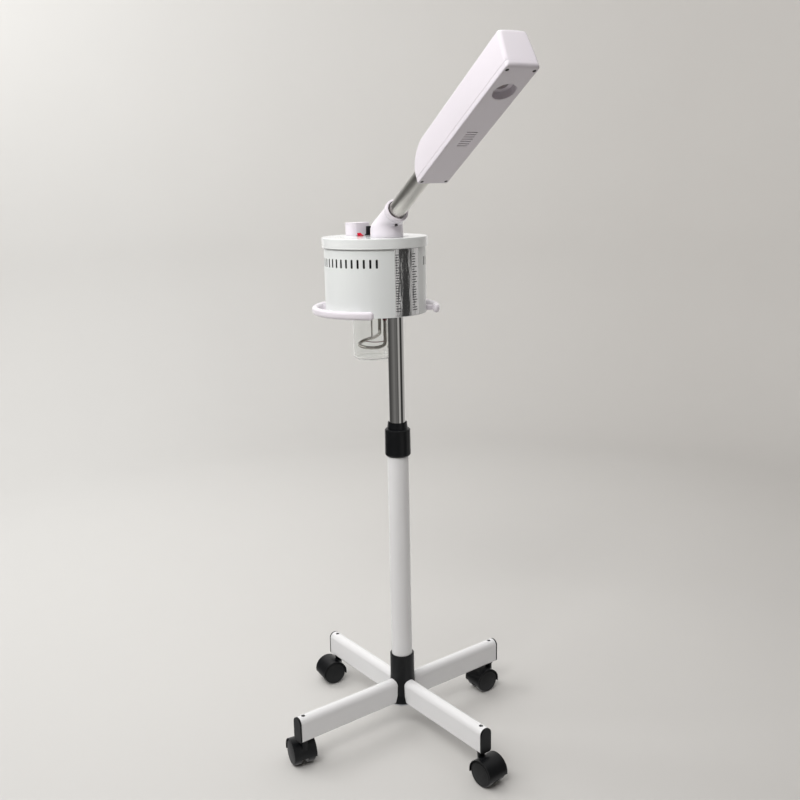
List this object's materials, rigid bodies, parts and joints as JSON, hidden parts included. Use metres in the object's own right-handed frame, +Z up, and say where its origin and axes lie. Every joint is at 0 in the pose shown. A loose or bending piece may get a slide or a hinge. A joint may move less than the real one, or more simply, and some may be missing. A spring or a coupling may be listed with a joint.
{
  "type": "facial steamer",
  "caption": "Rolling facial steamer: round boiler housing with hanging glass jar on a telescoping column, and a swivelling steam head on an angled pipe.",
  "frame": {"origin": "on the floor, under the middle of the bounding box; the axis of the column is 5 mm to +X and 76 mm to +Y of it", "axes": "+Z up, -Y towards the person being treated, +X to the right of an operator who stands behind the housing and faces that person: the left hand of the person is +X"},
  "size_m": [0.5208, 0.6953, 1.3103],
  "materials": {
    "painted_tube": "gloss powder coat",
    "housing_paint": "satin paint",
    "lid_paint": "gloss enamel",
    "panel_film": "glossy film",
    "foil": "bright foil",
    "black_plastic": "fine moulded texture",
    "wheel_plastic": "satin moulded",
    "white_plastic": "moulded nylon",
    "lilac_plastic": "semi-gloss moulded",
    "chrome": "polished",
    "pipe_steel": "satin",
    "zinc_steel": "zinc plated",
    "black_screw": "black oxide",
    "seal_rubber": "matte",
    "silicone": "translucent silicone",
    "circuit_board": "solder mask",
    "red_plastic": "glossy",
    "jar_glass": "clear",
    "lamp_glass": "frosted quartz"
  },
  "bodies": {
    "base": {"hub_socket": "black_plastic", "base_arms": "painted_tube", "arm_end_caps": "black_plastic", "hub_clamp_plate": "zinc_steel", "clamp_screws": "zinc_steel", "column_bolt": "zinc_steel", "outer_tube": "painted_tube", "collet_bush": "black_plastic", "caster_stems": "zinc_steel"},
    "collar": {"lock_collar": "black_plastic"},
    "glide": {"glide_bush": "white_plastic"},
    "mast": {"inner_tube": "chrome", "tube_socket": "zinc_steel", "bottom_plate": "housing_paint", "body_shell": "housing_paint", "lid": "lid_paint", "lid_seal": "seal_rubber", "panel_overlay": "panel_film", "foil_label": "foil", "handle_ring": "lilac_plastic", "handle_screws": "zinc_steel", "jar_mount": "black_plastic", "boiler_cap": "pipe_steel", "heating_element": "pipe_steel", "level_probe": "pipe_steel", "steam_riser": "silicone", "steam_seal": "seal_rubber", "control_board": "circuit_board", "wiring_cover": "lilac_plastic", "power_inlet": "black_plastic", "switch_frame": "black_plastic", "timer_unit": "zinc_steel"},
    "rocker": {"power_rocker": "red_plastic"},
    "knob": {"timer_knob": "black_plastic"},
    "jar_seal": {"jar_gasket": "silicone"},
    "jar": {"glass_jar": "jar_glass", "jar_ring": "pipe_steel"},
    "elbow": {"steam_elbow": "lilac_plastic", "elbow_nut": "zinc_steel", "elbow_screw": "black_screw"},
    "head": {"steam_pipe": "pipe_steel", "head_base": "lilac_plastic", "head_cover": "lilac_plastic", "head_screws": "black_screw", "outlet_nozzle": "lilac_plastic", "steam_duct": "silicone", "uv_lamp": "lamp_glass"},
    "caster_front": {"caster_hood_front": "black_plastic", "caster_axle_front": "zinc_steel"},
    "wheels_front": {"caster_wheels_front": "wheel_plastic"},
    "caster_left": {"caster_hood_left": "black_plastic", "caster_axle_left": "zinc_steel"},
    "wheels_left": {"caster_wheels_left": "wheel_plastic"},
    "caster_back": {"caster_hood_back": "black_plastic", "caster_axle_back": "zinc_steel"},
    "wheels_back": {"caster_wheels_back": "wheel_plastic"},
    "caster_right": {"caster_hood_right": "black_plastic", "caster_axle_right": "zinc_steel"},
    "wheels_right": {"caster_wheels_right": "wheel_plastic"}
  },
  "joints": [
    {"name": "collar_twist", "type": "hinge", "parent": "base", "child": "collar", "pos_m": [0.005, 0.076, 0.62], "axis": [0, 0, 1], "range_deg": [0, 90]},
    {"name": "height_slide", "type": "slide", "parent": "base", "child": "glide", "axis": [0, 0, 1], "range_m": [-0.2, 0.18]},
    {"name": "mast_turn", "type": "hinge", "parent": "glide", "child": "mast", "pos_m": [0.005, 0.076, 0.36], "axis": [0, 0, 1], "continuous": true},
    {"name": "elbow_swivel", "type": "hinge", "parent": "mast", "child": "elbow", "pos_m": [0.005, 0.097, 1.008], "axis": [0, 0, 1], "range_deg": [-80, 100]},
    {"name": "head_roll", "type": "hinge", "parent": "elbow", "child": "head", "pos_m": [-0.00123, 0.06307, 1.04784], "axis": [-0.1557, -0.8483, 0.506], "range_deg": [-60, 60]},
    {"name": "power_rock", "type": "hinge", "parent": "mast", "child": "rocker", "pos_m": [-0.01, 0.162, 1.0015], "axis": [1, 0, 0], "range_deg": [-14, 0]},
    {"name": "timer_turn", "type": "hinge", "parent": "mast", "child": "knob", "pos_m": [0.019, 0.169, 1.008], "axis": [0, 0, -1], "range_deg": [0, 300]},
    {"name": "jar_lower", "type": "slide", "parent": "mast", "child": "jar_seal", "axis": [0, 0, 1], "range_m": [-0.13, 0]},
    {"name": "jar_turn", "type": "hinge", "parent": "jar_seal", "child": "jar", "pos_m": [0.005, 0.151, 0.874], "axis": [0, 0, 1], "range_deg": [-90, 0]},
    {"name": "swivel_front", "type": "hinge", "parent": "base", "child": "caster_front", "pos_m": [0.005, -0.165, 0.05], "axis": [0, 0, 1], "continuous": true},
    {"name": "roll_front", "type": "hinge", "parent": "caster_front", "child": "wheels_front", "pos_m": [0.00599, -0.18397, 0.025], "axis": [-0.9986, -0.0523, 0], "continuous": true},
    {"name": "swivel_left", "type": "hinge", "parent": "base", "child": "caster_left", "pos_m": [-0.236, 0.076, 0.05], "axis": [0, 0, 1], "continuous": true},
    {"name": "roll_left", "type": "hinge", "parent": "caster_left", "child": "wheels_left", "pos_m": [-0.23205, 0.09459, 0.025], "axis": [0.9781, -0.2079, 0], "continuous": true},
    {"name": "swivel_back", "type": "hinge", "parent": "base", "child": "caster_back", "pos_m": [0.005, 0.317, 0.05], "axis": [0, 0, 1], "continuous": true},
    {"name": "roll_back", "type": "hinge", "parent": "caster_back", "child": "wheels_back", "pos_m": [-0.01377, 0.31997, 0.025], "axis": [0.1564, 0.9877, 0], "continuous": true},
    {"name": "swivel_right", "type": "hinge", "parent": "base", "child": "caster_right", "pos_m": [0.246, 0.076, 0.05], "axis": [0, 0, 1], "continuous": true},
    {"name": "roll_right", "type": "hinge", "parent": "caster_right", "child": "wheels_right", "pos_m": [0.22705, 0.07733, 0.025], "axis": [0.0698, 0.9976, 0], "continuous": true}
  ]
}
